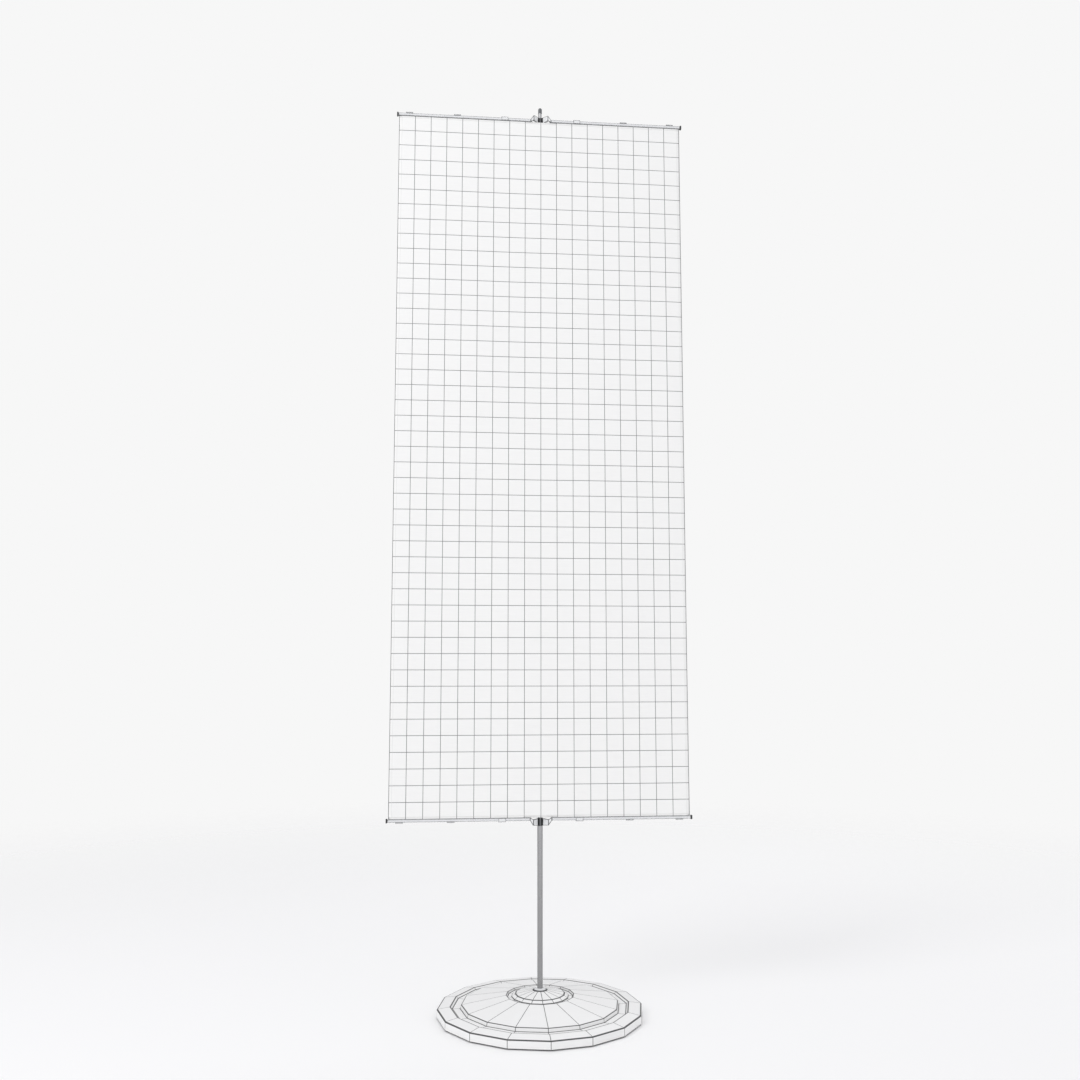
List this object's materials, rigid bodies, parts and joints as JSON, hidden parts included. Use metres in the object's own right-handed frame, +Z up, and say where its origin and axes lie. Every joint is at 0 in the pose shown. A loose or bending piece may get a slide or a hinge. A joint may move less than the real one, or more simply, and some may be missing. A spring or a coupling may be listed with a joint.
{
  "type": "banner stand",
  "caption": "Tall rectangular cloth banner held between two rails on a telescopic, turning pole, with a heavy sixteen-sided base.",
  "frame": {"origin": "on the floor, on the pole's axis, at the centre of the base", "axes": "+Z up along the pole, banner facing -Y, +X to the right of someone looking at its face"},
  "size_m": [0.851, 0.5628, 2.6169],
  "materials": {
    "shell": "white moulded shell, satin gloss",
    "steel": "zinc plated",
    "iron": "black painted casting",
    "rubber": "matt black",
    "pole": "satin anodised",
    "rail": "pale grey powder coat",
    "dark_plastic": "dark grey nylon",
    "light_plastic": "pale grey nylon",
    "cloth": "white woven polyester"
  },
  "bodies": {
    "base": {"floor_plate": "steel", "ballast_disc": "iron", "base_cover": "shell", "hub_cap": "shell", "spindle": "steel", "spindle_bolt": "steel", "rubber_foot_1": "rubber", "rubber_foot_2": "rubber", "rubber_foot_3": "rubber", "rubber_foot_4": "rubber", "rubber_foot_5": "rubber", "rubber_foot_6": "rubber", "cover_screw_1": "steel", "cover_screw_2": "steel", "cover_screw_3": "steel"},
    "pole": {"lower_pole": "pole", "thrust_washer": "light_plastic", "lower_bush": "light_plastic", "upper_bush": "light_plastic", "mast_guide": "dark_plastic", "pole_collar": "light_plastic"},
    "lock": {"lock_sleeve": "light_plastic", "lock_cone": "steel"},
    "mast": {"mast_tube": "pole", "mast_plug": "steel", "mast_cap": "dark_plastic", "banner": "cloth", "top_bracket": "light_plastic", "top_rail_left": "rail", "top_rail_right": "rail", "top_end_cap_left": "dark_plastic", "top_end_cap_right": "dark_plastic", "top_clip_left_1": "light_plastic", "top_clip_left_2": "light_plastic", "top_clip_left_3": "light_plastic", "top_clip_right_1": "light_plastic", "top_clip_right_2": "light_plastic", "top_clip_right_3": "light_plastic", "bottom_bracket": "light_plastic", "bottom_rail_left": "rail", "bottom_rail_right": "rail", "bottom_end_cap_left": "dark_plastic", "bottom_end_cap_right": "dark_plastic", "bottom_clip_left_1": "light_plastic", "bottom_clip_left_2": "light_plastic", "bottom_clip_left_3": "light_plastic", "bottom_clip_right_1": "light_plastic", "bottom_clip_right_2": "light_plastic", "bottom_clip_right_3": "light_plastic"},
    "top_clamp": {"top_knob": "dark_plastic", "top_knob_screw": "steel"},
    "bottom_clamp": {"bottom_knob": "dark_plastic", "bottom_knob_screw": "steel"}
  },
  "joints": [
    {"name": "pole_turn", "type": "hinge", "parent": "base", "child": "pole", "pos_m": [0, 0, 0.0337], "axis": [0, 0, 1], "continuous": true},
    {"name": "mast_slide", "type": "slide", "parent": "pole", "child": "lock", "axis": [0, 0, 1], "range_m": [0, 0.15]},
    {"name": "mast_twist", "type": "hinge", "parent": "lock", "child": "mast", "pos_m": [0, 0, 0.235], "axis": [0, 0, 1], "range_deg": [0, 180]},
    {"name": "top_clamp_turn", "type": "hinge", "parent": "mast", "child": "top_clamp", "pos_m": [0, 0.013, 2.5732], "axis": [0, 1, 0], "range_deg": [0, 360]},
    {"name": "bottom_clamp_turn", "type": "hinge", "parent": "mast", "child": "bottom_clamp", "pos_m": [0, 0.013, 0.5172], "axis": [0, 1, 0], "range_deg": [0, 360]}
  ]
}
